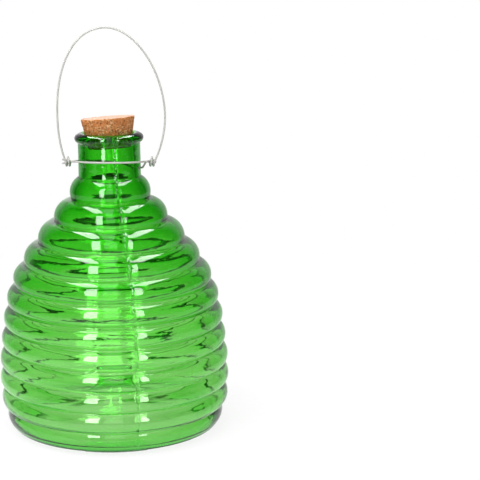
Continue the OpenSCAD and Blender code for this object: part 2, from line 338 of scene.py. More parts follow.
# Where something sets in: the start, and how far it is from there to the full
SOFT_RIBS = (20, 90)  # inside, by height
SOFT_NECK = (-20, 12)  # inside, by height over the neck's foot
MOUTH = (2, 1.5)  # seams and waves outside, by distance from the mouth
FACING = (-0.2, 0.4)  # the same, by the normal's outward share
FOOT = (3, 3)  # the same, by height
LIVELY = (8, 40)  # waves inside, by depth under the neck's foot
PAD_EDGE, PAD_END = (-0.4, 0.8), (-0.6, 1.2)  # by distance from a pad's edges and ends
PAD_FACING = (1 / 2, 1 / 3)  # by the normal's downward share

# Waves: number round the bottle and lengths along it, each from and to, how many are added up, and their seed
WANDER_WAVES = ((0, 0), (2, 8), 12, 3)
STRENGTH_WAVES = ((0, 0), (2, 6), 8, 4)
RIPPLE_WAVES = ((1, 7), (7, 22), 28, 5)
WRINKLE_WAVES = ((2, 14), (1.6, 4), 40, 6)
OUTER_WAVES = ((1, 6), (9, 30), 16, 7)


def groove_line(g, z):
    """Radius of the grooves at height z: a leaning side that turns into the shoulder's slope.

    belly radius - lean x height above the belly - draw x depth below it squared
    - drop x S((z - shoulder) / blend), where S(x) = ln(1 + e^x) is scaled to 1 at the neck's foot."""
    belly_r = g.belly_d / 2 - g.rib_depth
    drop = belly_r - g.side_lean * (g.neck_foot_z - g.belly_z) - g.shoulder_tip_r
    turn = np.logaddexp(0, (z - g.shoulder_z) / g.shoulder_blend)
    whole = np.logaddexp(0, (g.neck_foot_z - g.shoulder_z) / g.shoulder_blend)
    above, below = np.maximum(z - g.belly_z, 0), np.maximum(g.belly_z - z, 0)
    return belly_r - g.side_lean * above - g.foot_draw * below**2 - drop * turn / whole


def lip_z(g):
    """Height of the lip's edge, under its crown."""
    return g.neck_foot_z + g.neck_h - g.lip_crown


def rib_line(g):
    """The outside from base to lip: (radius, height) on an arc for each rib, then the neck."""
    u = np.arange(g.rib_count + 1) / g.rib_count
    z = g.pad_h + (g.neck_foot_z - g.pad_h) * ((1 - g.rib_growth) * u + g.rib_growth * u**2)
    r = np.maximum(g.neck_r, groove_line(g, z))
    r[0] = g.base_r
    grooves = np.stack([r, z], 1)
    depths = [g.rib_depth] * (g.rib_count - 1) + [g.top_rib_depth]
    ribs = [bulge(p, q, d, ARC_STEPS) for p, q, d in zip(grooves[:-1], grooves[1:], depths)]
    return np.vstack([*ribs, [[g.neck_r, g.neck_foot_z], [g.neck_r, lip_z(g) - g.lip_h]]])


def inside_line(g):
    """The inside: the outside moved in along its normal by the wall, thicker near the neck and at the heel.

    wall + (neck wall - wall) x u^power + heel x e^-(height / heel height)^2, with u from base to neck."""
    line = even(rib_line(g), INSIDE_STEP, g.groove_round)
    u = np.clip((line[:, 1] - g.pad_h) / (g.neck_foot_z - g.pad_h), 0, 1)
    low = (line[:, 1] - g.pad_h) / HEEL_HEIGHT
    wall = g.glass_wall + (g.neck_wall - g.glass_wall) * u**g.wall_power + g.heel * np.exp(-low**2)
    return line - wall[:, None] * right_of(np.gradient(line, axis=0))


def wall_section(g):
    """Corner points round the section of the glass wall, and 1 at those on the wavy inside.

    Up the outside by ribs, neck, lip bead and crown, down the inside to the floor, then along the funnel's
    two skins, which are quarter ellipses, to the foot ring."""
    neck_top, floor_z = lip_z(g), g.pad_h + g.glass_wall
    outside = [
        rib_line(g)[:-1],
        bulge([g.neck_r, neck_top - g.lip_h], [g.neck_r, neck_top], g.lip_bead, ARC_STEPS),
        bulge([g.neck_r, neck_top], [g.mouth_r, neck_top], g.lip_crown, ARC_STEPS),
        [[g.mouth_r, neck_top]],
    ]
    inside = np.vstack([[[g.foot_ring_r, floor_z]], inside_line(g)])[::-1]
    a = np.linspace(0, math.pi / 2, ARC_STEPS)[1:-1]
    rim_r = g.entry_r + g.glass_wall

    def skin(r_top, z_low):
        r = g.foot_ring_r - (g.foot_ring_r - r_top) * np.sin(a)
        return np.stack([r, g.funnel_top_z - (g.funnel_top_z - z_low) * np.cos(a)], 1)

    funnel = [
        skin(rim_r, floor_z),
        bulge([rim_r, g.funnel_top_z], [g.entry_r, g.funnel_top_z], g.glass_wall / 2, ARC_STEPS),
        [[g.entry_r, g.funnel_top_z]],
        skin(g.entry_r, g.pad_h)[::-1],
        [[g.foot_ring_r, g.pad_h]],
    ]
    parts = [np.vstack(outside), inside, np.vstack(funnel)]
    return np.vstack(parts), np.repeat([0.0, 1.0, 0.0], [len(part) for part in parts])


def softened(values, step, sigma):
    """Values sampled at equal steps round a closed line, blurred by a Gaussian of width sigma."""
    frequency = np.fft.rfftfreq(len(values), step)
    blur = np.exp(-2 * (math.pi * frequency * sigma) ** 2)
    return np.fft.irfft(np.fft.rfft(values, axis=0) * blur[:, None], len(values), axis=0)


def normals(line):
    """Unit normals of a closed line of points."""
    return right_of(np.roll(line, -1, 0) - np.roll(line, 1, 0))


def bottle_section(g):
    """Points of the softened section, closest where it bends: place, normal, wavy share and distance along.

    The grooves outside stay crisp, and the inside's ribs get softer on their way up. The foot's mould line
    moves the outside by its height x e^-(height off its middle / width)^2."""
    corners, wavy = wall_section(g)
    closed = np.vstack([corners, corners[:1]])
    way = np.concatenate([[0], np.cumsum(np.hypot(*np.diff(closed, axis=0).T))])
    count = int(way[-1] / SECTION_STEP)
    s = np.arange(count) * way[-1] / count
    step = s[1]
    fine = np.stack([np.interp(s, way, closed[:, k]) for k in range(2)], 1)
    inside = np.interp(s, way, np.append(wavy, wavy[0]))[:, None]
    inside = np.clip(softened(inside, step, WAVY_BLEND), 0, 1)
    crisp = softened(fine, step, g.groove_round)
    low, high, neck = (softened(fine, step, sigma) for sigma in (g.low_round, g.inner_round, g.neck_round))
    upper = fade(crisp[:, 1:], *SOFT_RIBS)
    top = fade(crisp[:, 1:] - g.neck_foot_z, *SOFT_NECK)
    soft = (low * (1 - upper) + high * upper) * (1 - top) + neck * top
    line = crisp * (1 - inside) + soft * inside
    up = (line[:, 1:] - g.pad_h - g.foot_line_up) / FOOT_LINE_WIDTH
    heel = (1 - inside) * (line[:, :1] > g.foot_ring_r)
    line = line + g.foot_line * heel * np.exp(-up**2) * normals(line)
    normal = normals(line)
    bend = np.hypot(*(np.roll(normal, -1, 0) - normal).T) / step
    foot = (line[:, 1] < g.pad_h + FOOT_BAND) & (line[:, 0] > g.foot_ring_r)
    weight = np.cumsum(1 + BEND_WEIGHT * np.minimum(bend, BEND_LIMIT) + FOOT_WEIGHT * foot)
    pick = np.searchsorted(weight, np.arange(SECTION_ROWS) * weight[-1] / SECTION_ROWS)
    return line[pick], normal[pick], inside[pick], s[pick]


def azimuths(g):
    """Even columns round the axis, and closer ones beside the two mould seams."""
    seams = np.array([g.seam_azimuth, g.seam_azimuth + math.pi])
    columns = np.linspace(-math.pi, math.pi, COLUMNS, endpoint=False)
    apart = np.abs((columns[:, None] - seams + math.pi) % TURN - math.pi).min(1)
    beside = seams[:, None] + np.array(SEAM_COLUMNS) / (g.belly_d / 2)
    return np.sort(np.concatenate([columns[apart >= TURN / COLUMNS * SEAM_ROOM], beside.ravel()]))


def seam_push(g, azimuth, along, r):
    """Push of the two mould seams: height x uneven strength x e^-((distance - wander) / width)^2."""
    wander = SEAM_WANDER * waves(np.zeros(1), along, *WANDER_WAVES)
    strength = SEAM_MEAN + SEAM_SWING * waves(np.zeros(1), along, *STRENGTH_WAVES)
    off = (azimuth - g.seam_azimuth + math.pi / 2) % math.pi - math.pi / 2
    return g.seam_height * strength * np.exp(-((off * r - wander) / g.seam_width) ** 2)


def pad_share(g, azimuth, r, normal):
    """1 on the pads, arcs of the foot ring with soft edges, the first one in front, and 0 beside them."""
    half = TURN / PAD_COUNT / 2
    apart = np.abs((azimuth + math.pi / 2 + half) % (2 * half) - half)
    outer = g.base_r - g.pad_inset
    ring = fade(outer - r, *PAD_EDGE) * fade(r - outer + g.pad_w, *PAD_EDGE)
    return ring * fade((g.pad_arc / 2 - apart) * g.base_r, *PAD_END) * fade(-normal[:, 1:], *PAD_FACING)


def bottle_surface(g):
    """The whole skin of the bottle, its section carried round the axis, and the wavy share of each vertex.

    Each point moves along the section's normal: outside by mould seams and long waves, inside by ripples and
    wrinkles. The pads are the part of the foot ring that reaches down to the floor."""
    line, normal, inside, along = bottle_section(g)
    azimuth = azimuths(g)
    r, z = line[:, :1], line[:, 1:]
    outside = (1 - inside) * fade(r - g.mouth_r, *MOUTH) * fade(normal[:, :1], *FACING) * fade(z, *FOOT)
    calm = CALM + (1 - CALM) * fade(g.neck_foot_z - z, *LIVELY)
    skin = seam_push(g, azimuth, along, r) - OUTER_INSET + OUTER_WAVE * waves(azimuth, along, *OUTER_WAVES)
    ripples, wrinkles = waves(azimuth, along, *RIPPLE_WAVES), waves(azimuth, along, *WRINKLE_WAVES)
    push = outside * skin + inside * calm * (g.ripple * ripples + g.wrinkle * wrinkles)
    r, z = r + push * normal[:, :1], z + push * normal[:, 1:]
    z = np.maximum(z - g.pad_h * pad_share(g, azimuth, r, normal), 0)
    points = np.stack([r * np.cos(azimuth), r * np.sin(azimuth), z], -1)
    return ring_surface(points), np.repeat(inside.ravel(), len(azimuth))


# Cork, with lengths in millimetres

EDGE_STEPS, SIDE_STEPS, FLOOR_STEPS, TOP_STEPS = 7, 44, 22, 28
CORK_COLUMNS = 150
POLE_R, POLE_SINK = 0.4, 0.05  # an end face's innermost ring, and the pit in its middle
DENT_SHARE, DENT_MEAN, DENT_LIMIT = 0.6, 0.5, 2.4

# Dents: lengths of the waves, from and to, how many are added up, and their seed
BROAD_DENTS = ((2.2, 5.0), 60, 11)
FINE_DENTS = ((0.9, 1.8), 60, 12)


def grain(points, lengths, count, seed):
    """Unevenness of about unit height at points in space: a sum of cosines in random directions."""
    rng = np.random.default_rng(seed)
    way = rng.normal(size=(3, count))
    way *= TURN / rng.uniform(lengths[0], lengths[1], count) / np.linalg.norm(way, axis=0)
    return np.cos(points @ way + rng.uniform(0, TURN, count)).sum(-1) * (2 / count) ** 0.5


def cork_surface(c, mouth_z):
    """A cone's stump with rounded edges, dented inwards by a grain of small waves, leaning in the mouth."""
    r0, r1, e = c.bottom_d / 2, c.top_d / 2, c.edge
    a = np.linspace(0, math.pi / 2, EDGE_STEPS)
    foot = np.stack([r0 - e + e * np.sin(a), e - e * np.cos(a)], 1)
    head = np.stack([r1 - e + e * np.cos(a), c.cork_len - e + e * np.sin(a)], 1)
    side = np.linspace(foot[-1], head[0], SIDE_STEPS)[1:-1]
    floor = np.linspace([POLE_R, 0], [r0 - e, 0], FLOOR_STEPS)[:-1]
    top = np.linspace([r1 - e, c.cork_len], [POLE_R, c.cork_len], TOP_STEPS)[1:]
    line = np.vstack([floor, foot, side, head, top])
    azimuth = np.linspace(0, TURN, CORK_COLUMNS, endpoint=False)

    def carried(section):
        r, z = section[:, :1], section[:, 1:]
        return np.stack([r * np.cos(azimuth), r * np.sin(azimuth), z + 0 * azimuth], -1)

    points, out = carried(line), carried(right_of(np.gradient(line, axis=0)))
    dents = DENT_SHARE * (grain(points, *BROAD_DENTS) + grain(points, *FINE_DENTS))
    points = points - out * (c.rough * np.clip(DENT_MEAN + dents, 0, DENT_LIMIT))[..., None]
    poles = np.array([[0, 0, POLE_SINK], [0, 0, c.cork_len - POLE_SINK]])
    turn = np.array(Matrix.Rotation(-c.lean, 3, "Y") @ Matrix.Rotation(-c.tip, 3, "X"))
    place = np.array([0, 0, mouth_z])
    down = np.array([0, 0, c.depth])
    return ring_surface((points - down) @ turn.T + place, (poles - down) @ turn.T + place)


# Wire, with lengths in millimetres

SLIM = 0.95  # share of the wire's diameter that is drawn
WIRE_SIDES = 14
DOME = np.array([0.25, 0.6, 0.85])  # girths of the rings on a wire's rounded end, in radii
DOME_RISE, TIP_RISE = 0.6, 0.03  # heights of that end and of its tip, in radii
BAIL_STEP, BAIL_SOFT = 0.3, 0.5
COLLAR_STEP, COLLAR_SOFT = 0.25, 0.35
CURL_POINTS, BOW_POINTS = 60, 120
ARC_POINTS, LEAD_POINTS, STRAND_POINTS, HAIRPIN_POINTS = 70, 20, 16, 14
LEAD_ANGLE = math.radians(28)  # where the collar leaves the neck, from the hinge line
LEAD_PULL, PIN_PULL = 6, 2.5  # pull of a lead's curve at the neck and at the pin
PIN_REACH = 3.4  # from the neck to a pin's start
TAIL, TAIL_SPLAY = 2, 0.3  # length of the left tips, and how far they splay
AHEAD = 0.01  # step of azimuth that gives the collar's direction


def tube(path, radius):
    """A round wire along a path, with domed ends.

    Each ring starts from the axis least along the path, and is turned by the running sum of the angles that
    the next ring's start is off by, so that there is no twist."""
    t = np.gradient(path, axis=0)
    t /= np.linalg.norm(t, axis=1, keepdims=True)
    ends = len(DOME)
    rise = np.sqrt(1 - DOME**2) * DOME_RISE
    first, last = path[0] - t[0] * radius * rise[:, None], path[-1] + t[-1] * radius * rise[::-1, None]
    path = np.vstack([first, path, last])
    t = np.vstack([np.repeat(t[:1], ends, 0), t, np.repeat(t[-1:], ends, 0)])
    girth = np.concatenate([DOME, np.ones(len(path) - 2 * ends), DOME[::-1]]) * radius
    side = np.cross(t, np.eye(3)[np.abs(t).argmin(1)])
    side /= np.linalg.norm(side, axis=1, keepdims=True)
    up = np.cross(t, side)
    carried = side[:-1] - np.einsum("ij,ij->i", side[:-1], t[1:])[:, None] * t[1:]
    off = np.arctan2(np.einsum("ij,ij->i", carried, up[1:]), np.einsum("ij,ij->i", carried, side[1:]))
    turn = np.concatenate([[0], np.cumsum(off)])
    a = np.arange(WIRE_SIDES) * TURN / WIRE_SIDES + turn[:, None]
    round_about = np.cos(a)[..., None] * side[:, None] + np.sin(a)[..., None] * up[:, None]
    rings = path[:, None] + girth[:, None, None] * round_about
    poles = np.stack([path[0] - t[0] * radius * TIP_RISE, path[-1] + t[-1] * radius * TIP_RISE])
    return ring_surface(rings, poles)


def wire_frame(w, neck_r):
    """Sizes that both wires share: radii of strand, curl and collar, and the bail's ends on the hinge."""
    strand = (w.wire_d + w.strand_gap) / 2
    curl = strand + w.wire_d + w.wire_gap + w.curl_play
    left, right = neck_r + w.left_bow, neck_r + w.right_bow
    return SimpleNamespace(
        strand=strand, curl=curl, left=left, right=right,
        collar=neck_r + w.wire_d / 2 + w.wire_gap,
        left_end=-bow(w, 0.0, left, w.left_full), right_end=bow(w, 0.0, right, w.right_full),
    )


def bow(w, h, reach, full):
    """Half width of the bail at height h: reach x (1 - v^full)^(1 / full), with v from waist to end."""
    v = np.where(h > w.waist_h, (h - w.waist_h) / (w.bail_h - w.waist_h), (w.waist_h - h) / w.close_h)
    return reach * np.maximum(1 - v**full, 0) ** (1 / full)


def bail_path(w, f):
    """The bail in the hinge line's frame: left curl, bow with two different sides, and right curl."""
    a = np.linspace(0, TURN * w.curl_turns, CURL_POINTS)

    def curl(x, way):
        return np.stack([x + way * w.curl_pitch * a / TURN, -f.curl * np.cos(a), -f.curl * np.sin(a)], 1)

    h = w.bail_h * np.sin(np.linspace(0, math.pi / 2, BOW_POINTS)[1:-1])

    def side(way, reach, full):
        x = way * bow(w, h, reach, full) - h * math.tan(w.bail_lean)
        return np.stack([x, np.full_like(h, -f.curl), h], 1)

    top = [[-w.bail_h * math.tan(w.bail_lean), -f.curl, w.bail_h]]
    parts = [
        curl(f.left_end, 1)[::-1], side(-1, f.left, w.left_full), top,
        side(1, f.right, w.right_full)[::-1], curl(f.right_end, -1),
    ]
    return even(np.vstack(parts), BAIL_STEP, BAIL_SOFT)


def collar_path(w, f, neck_r):
    """The collar in the hinge line's frame, one wire: tip, front arc, right hairpin, back arc and tip.

    Arcs lie on the neck, leads are cubic curves from arc to pin, and a pin's strands twist a quarter turn."""

    def rise(az):
        drop = -w.back_drop * (math.pi - az) / (math.pi - LEAD_ANGLE)
        return np.where(az < 0, w.front_rise * np.sin(-az), drop)

    def on_neck(az):
        return np.stack([f.collar * np.cos(az), f.collar * np.sin(az), rise(az)], -1)

    def pull(az):
        way = on_neck(np.array(az + AHEAD)) - on_neck(np.array(az))
        return LEAD_PULL * (way / np.linalg.norm(way))

    def lead(p, a, b, q):
        t = np.linspace(0, 1, LEAD_POINTS)[1:-1, None]
        u = 1 - t
        return u**3 * p + 3 * u**2 * t * (p + a) + 3 * u * t**2 * (q - b) + t**3 * q

    def strand(x0, x1, start):
        k = np.linspace(0, 1, STRAND_POINTS)
        a = np.radians(start - 90 * k)
        return np.stack([x0 + (x1 - x0) * k, f.strand * np.cos(a), f.strand * np.sin(a)], 1)

    def tail(up):
        return np.array([[f.left_end - TAIL, 0, up * (f.strand + TAIL_SPLAY)]])

    pin_in = neck_r + PIN_REACH
    front_right, back_right = (strand(pin_in, f.right_end, start) for start in (180, 360))
    front_left, back_left = (strand(-pin_in, f.left_end, start) for start in (180, 360))
    bend = np.linspace(0, math.pi, HAIRPIN_POINTS)[1:-1]
    hairpin = np.stack([f.right_end + f.strand * np.sin(bend), 0 * bend, f.strand * np.cos(bend)], 1)
    front = on_neck(np.linspace(LEAD_ANGLE - math.pi, -LEAD_ANGLE, ARC_POINTS))
    back = on_neck(np.linspace(LEAD_ANGLE, math.pi - LEAD_ANGLE, ARC_POINTS))
    out, dip = np.array([PIN_PULL, 0, 0]), np.array([-PIN_PULL, 0, -w.back_drop])
    parts = [
        tail(1), front_left[::-1],
        lead(front_left[0], out, pull(LEAD_ANGLE - math.pi), front[0]), front,
        lead(front[-1], pull(-LEAD_ANGLE), out, front_right[0]), front_right,
        hairpin, back_right[::-1],
        lead(back_right[0], dip, pull(LEAD_ANGLE), back[0]), back,
        lead(back[-1], pull(math.pi - LEAD_ANGLE), -out, back_left[0]), back_left,
        tail(-1),
    ]
    return even(np.vstack(parts), COLLAR_STEP, COLLAR_SOFT)


def hinged_wire(w, path):
    """A wire along a path, taken from the hinge line's frame to its place on the neck."""
    vertices, faces = tube(path, w.wire_d / 2 * SLIM)
    turn = np.array(Matrix.Rotation(w.hinge_tilt, 3, "Y"))
    return vertices @ turn.T + np.array([0, 0, w.hinge_z]), faces


# Finishes

GLASS_IOR = 1.52
GRANULES, SPECKS = 780.0, 1300.0  # granules and bark specks per metre of cork
SHAKE = 0.0012  # how far these are bent out of shape
WHITE = (1, 1, 1, 1)
NODE_STEP = 200

# Noise: clouds per metre, and detail
PEEL_NOISE, RIPPLE_NOISE = (420.0, 3.0), (55.0, 2.0)
PEEL_FLAT, RIPPLE_FLAT = 2.0, 3.0  # how much wider than high these clouds are
SHAKE_NOISE, FINE_NOISE, ZINC_NOISE = (500.0, 2.0), (1800.0, 4.0), (350.0, 3.0)

# Bumps: strength, and height in metres
RIPPLE_BUMP, CORK_BUMP, ZINC_BUMP = (0.25, 0.0006), (0.5, 0.0004), (0.1, 0.0001)
PEEL_HEIGHT = 0.0003

# Ranges: where a value starts and ends to count, and for some what it becomes there
PALE_GRANULES, BRIGHT_ZINC = (0.55, 0.9), (0.2, 0.8)
MOTTLE = (0.35, 0.65, 0.0, 0.45)  # dark share, by the fine noise
FLECKS = (0.84, 0.9, 0.0, 0.85)  # dark share, by a speck's random number
JOINTS = (0.0, 0.12, 0.5, 0.0)  # dark share, by distance from a granule's edge
# Painted light: share of the paler top colour, by the normal's upward share
PAINTED_TOP_LIGHT = (0.75, 0.95, 0.0, 0.6)  # by the normal's upward share
ZINC_ROUGHNESS = (0.3, 0.7, 0.75, 0.6)
FLOOR_WHITE = (0.1, 0.5, 0.88, 1.0)  # by distance from the bottle
FLOOR_GLOW, BACK_GLOW = (0.1, 0.5), (0.06, 0.4)  # sideways, by distance and by direction
CEILING = (0.3, 0.7)  # by a direction's upward share
BACK_BLEND = 0.3


def add_node(tree, kind, inputs=None, **settings):
    """Adds a shader node, its kind written without ShaderNode, and sets its options and inputs."""
    node = tree.nodes.new("ShaderNode" + kind)
    node.location = (NODE_STEP * len(tree.nodes), 0)
    for name, value in settings.items():
        setattr(node, name, value)
    for key, value in (inputs or {}).items():
        if isinstance(value, bpy.types.NodeSocket):
            tree.links.new(value, node.inputs[key])
        else:
            node.inputs[key].default_value = value
    return node


def calculate(tree, operation, *values, clamp=False):
    """The result of a maths node."""
    node = add_node(tree, "Math", dict(enumerate(values)), operation=operation, use_clamp=clamp)
    return node.outputs["Value"]


def map_range(tree, value, start, end, low, high):
    """A value that goes from low at start to high at end, and stays there beyond."""
    inputs = {"Value": value, "From Min": start, "From Max": end, "To Min": low, "To Max": high}
    return add_node(tree, "MapRange", inputs).outputs["Result"]


def noise(tree, vector, scale, detail, output="Fac"):
    """Cloudy noise, with scale clouds per metre."""
    inputs = {"Vector": vector, "Scale": scale, "Detail": detail}
    return add_node(tree, "TexNoise", inputs).outputs[output]


def voronoi(tree, vector, scale, output, feature="F1"):
    """Cells, with scale of them per metre: the colour of each, or the distance to its edge."""
    inputs = {"Vector": vector, "Scale": scale}
    return add_node(tree, "TexVoronoi", inputs, feature=feature).outputs[output]


def mix_colours(tree, factor, first, second):
    """Two colours mixed by a factor. The mix node's colours are its inputs 6 and 7 and its output 2."""
    return add_node(tree, "Mix", {0: factor, 6: first, 7: second}, data_type="RGBA").outputs[2]


def bump(tree, height, strength, distance, **inputs):
    """The surface's normal, tilted by the slope of a height."""
    inputs.update(Height=height, Strength=strength, Distance=distance)
    return add_node(tree, "Bump", inputs).outputs["Normal"]


def ramp(tree, factor, span, first, second):
    """A colour that goes from the first at the span's start to the second at its end."""
    node = add_node(tree, "ValToRGB", {"Fac": factor})
    for stop, position, rgb in zip(node.color_ramp.elements, span, (first, second)):
        stop.position = position
        stop.color = (*rgb, 1)
    return node.outputs["Color"]


def empty_tree(holder):
    """The node tree of a material or world, with its nodes deleted."""
    holder.use_nodes = True
    holder.node_tree.nodes.clear()
    return holder.node_tree


def new_material(name):
    """A node material, its tree and output node, and the place on the object that its textures read."""
    material = bpy.data.materials.new(name)
    tree = empty_tree(material)
    place = add_node(tree, "TexCoord").outputs["Object"]
    return material, tree, add_node(tree, "OutputMaterial"), place


def set_surface(tree, output, inputs):
    """Gives a material's output a Principled surface with the given inputs."""
    surface = add_node(tree, "BsdfPrincipled", inputs)
    tree.links.new(surface.outputs["BSDF"], output.inputs["Surface"])


def green_glass(p):
    """Clear green glass, darker by its depth, with faint ripples and, inside, a fine orange peel."""
    material, tree, output, place = new_material("green_glass")
    flat, flatter = (
        add_node(tree, "Mapping", {"Vector": place, "Scale": (1, 1, times)}).outputs["Vector"]
        for times in (PEEL_FLAT, RIPPLE_FLAT)
    )
    inner = add_node(tree, "Attribute", attribute_name="inside").outputs["Fac"]
    peel = calculate(tree, "MULTIPLY", noise(tree, flat, *PEEL_NOISE), inner)
    ripple = bump(tree, noise(tree, flatter, *RIPPLE_NOISE), *RIPPLE_BUMP)
    set_surface(tree, output, {
        "Base Color": (*p.tint, 1), "Roughness": 0.0, "IOR": GLASS_IOR, "Transmission Weight": 1.0,
        "Normal": bump(tree, peel, p.peel, PEEL_HEIGHT, Normal=ripple),
    })
    depth = add_node(tree, "VolumeAbsorption", {"Color": (*p.body_colour, 1), "Density": p.density})
    tree.links.new(depth.outputs["Volume"], output.inputs["Volume"])
    return material


def pressed_cork(p):
    """Pressed cork: granules of several browns with dark specks, pitted at the joints, and painted light on
    top: a paler colour where it faces up, as if lit from above.
    """
    material, tree, output, place = new_material("pressed_cork")
    dark = (*p.dark, 1)
    shake = noise(tree, place, *SHAKE_NOISE, "Color")
    bent = add_node(tree, "Mix", {0: SHAKE, 4: place, 5: shake}, data_type="VECTOR").outputs[1]
    granule = voronoi(tree, bent, GRANULES, "Color")
    joint = voronoi(tree, bent, GRANULES, "Distance", "DISTANCE_TO_EDGE")
    speck = voronoi(tree, bent, SPECKS, "Color")
    fine = noise(tree, place, *FINE_NOISE)
    kind = add_node(tree, "SeparateColor", {"Color": granule}).outputs["Red"]
    bark = add_node(tree, "SeparateColor", {"Color": speck}).outputs["Green"]
    body = ramp(tree, kind, PALE_GRANULES, p.warm, p.pale)
    mottled = mix_colours(tree, map_range(tree, fine, *MOTTLE), body, dark)
    flecked = mix_colours(tree, map_range(tree, bark, *FLECKS), mottled, dark)
    jointed = mix_colours(tree, map_range(tree, joint, *JOINTS), flecked, dark)
    normal = add_node(tree, "TexCoord").outputs["Normal"]
    upright = add_node(tree, "SeparateXYZ", {"Vector": normal}).outputs["Z"]
    # Painted light: where the surface faces up, its colour is mixed towards a paler one, as if lit from above
    painted_light = mix_colours(tree, map_range(tree, upright, *PAINTED_TOP_LIGHT), jointed, (*p.painted_light, 1))
    set_surface(tree, output, {
        "Base Color": painted_light, "Roughness": 0.95, "Specular IOR Level": 0.05,
        "Normal": bump(tree, calculate(tree, "ADD", joint, fine), *CORK_BUMP),
    })
    return material


def galvanised_wire(p):
    """Galvanised wire: the dull skin of zinc, with brighter, slightly raised clouds."""
    material, tree, output, place = new_material("galvanised_wire")
    cloud = noise(tree, place, *ZINC_NOISE)
    set_surface(tree, output, {
        "Base Color": ramp(tree, cloud, BRIGHT_ZINC, p.dull, p.bright), "Metallic": 0.1,
        "Roughness": map_range(tree, cloud, *ZINC_ROUGHNESS), "Specular IOR Level": 0.15,
        "Normal": bump(tree, cloud, *ZINC_BUMP),
    })
    return material


def seen_rays(tree, path):
    """1 for rays from the camera, from gloss and through glass, which see the white studio, else 0."""
    direct = calculate(tree, "ADD", path["Is Camera Ray"], path["Is Glossy Ray"])
    return calculate(tree, "ADD", direct, path["Is Transmission Ray"], clamp=True)


def middle_glow(tree, path, across, inner, outer, p):
    """1, and for rays through glass a brightness that falls from the middle level to the side level.

    For reflections it falls from 1 to the edge level by half that way, so the glass's outline is dark."""
    off = calculate(tree, "ABSOLUTE", calculate(tree, "SUBTRACT", across, p.middle_at))
    glow = map_range(tree, off, inner, outer, p.middle_level, p.side_level)
    edge = map_range(tree, off, inner, outer / 2, 1.0, p.edge_level)
    mirror = map_range(tree, path["Is Glossy Ray"], 0.0, 1.0, 1.0, edge)
    return map_range(tree, path["Is Transmission Ray"], 0.0, 1.0, mirror, glow)


def white_floor(p):
    """Pale floor that looks white, and keeps the soft shadow of what stands on it."""
    material, tree, output, place = new_material("white_floor")
    path = add_node(tree, "LightPath").outputs
    across = add_node(tree, "SeparateXYZ", {"Vector": place}).outputs["X"]
    away = add_node(tree, "VectorMath", {0: place}, operation="LENGTH").outputs["Value"]
    glow = middle_glow(tree, path, across, *FLOOR_GLOW, p)
    part = calculate(tree, "MULTIPLY", seen_rays(tree, path), map_range(tree, away, *FLOOR_WHITE))
    matt = add_node(tree, "BsdfDiffuse", {"Color": (*p.floor_colour, 1)}).outputs[0]
    white = add_node(tree, "Emission", {"Color": WHITE, "Strength": glow}).outputs[0]
    mixed = add_node(tree, "MixShader", {0: part, 1: matt, 2: white}).outputs[0]
    tree.links.new(mixed, output.inputs["Surface"])
    return material


def studio_world(p):
    """White surroundings, in gloss and glass dimmer in front and above, and a plain fill for other rays."""
    world = bpy.data.worlds.new("studio")
    tree = empty_tree(world)
    path = add_node(tree, "LightPath").outputs
    way = add_node(tree, "TexCoord").outputs["Generated"]
    axes = add_node(tree, "SeparateXYZ", {"Vector": way}).outputs
    back = map_range(tree, axes["Y"], p.dark_edge, p.dark_edge + BACK_BLEND, p.front_level, 1.0)
    top = map_range(tree, axes["Z"], *CEILING, 1.0, p.top_level)
    glow = middle_glow(tree, path, axes["X"], *BACK_GLOW, p)
    white = calculate(tree, "MULTIPLY", calculate(tree, "MULTIPLY", back, top), glow)
    lit = map_range(tree, seen_rays(tree, path), 0.0, 1.0, p.fill, white)
    level = calculate(tree, "MAXIMUM", lit, path["Is Camera Ray"])
    light = add_node(tree, "Background", {"Color": WHITE, "Strength": level}).outputs[0]
    tree.links.new(light, add_node(tree, "OutputWorld").inputs["Surface"])
    return world


# Operators

class FLYTRAP_OT_bottle(bpy.types.Operator):
    """Build the ribbed glass bottle with its entry funnel"""

    bl_idname = "flytrap.bottle"
    bl_label = "Glass Bottle"

    def execute(self, context):
        settings = context.scene.flytrap_glass
        surface, inside = bottle_surface(in_millimetres(settings))
        glass = green_glass(settings)
        add_piece("bottle_glass", surface, glass, "bottle", "glass_bottle", {"inside": inside})
        return {"FINISHED"}


class FLYTRAP_OT_cork(bpy.types.Operator):
    """Build the tapered cork"""

    bl_idname = "flytrap.cork"
    bl_label = "Cork"

    def execute(self, context):
        settings = context.scene.flytrap_cork
        surface = cork_surface(in_millimetres(settings), lip_z(in_millimetres(context.scene.flytrap_glass)))
        add_piece("cork_plug", surface, pressed_cork(settings), "cork", "cork_stopper")
        return {"FINISHED"}


class FLYTRAP_OT_wires(bpy.types.Operator):
    """Bend the wire collar round the neck and the bail that hangs on it"""

    bl_idname = "flytrap.wires"
    bl_label = "Collar and Bail"

    def execute(self, context):
        settings = context.scene.flytrap_wire
        neck_r = context.scene.flytrap_glass.neck_r / MM
        wire = in_millimetres(settings)
        sizes = wire_frame(wire, neck_r)
        zinc = galvanised_wire(settings)
        collar = hinged_wire(wire, collar_path(wire, sizes, neck_r))
        bail = hinged_wire(wire, bail_path(wire, sizes))
        add_piece("collar_wire", collar, zinc, "bottle", "neck_wire")
        add_piece("bail_loop", bail, zinc, "bail", "bail_wire")
        return {"FINISHED"}


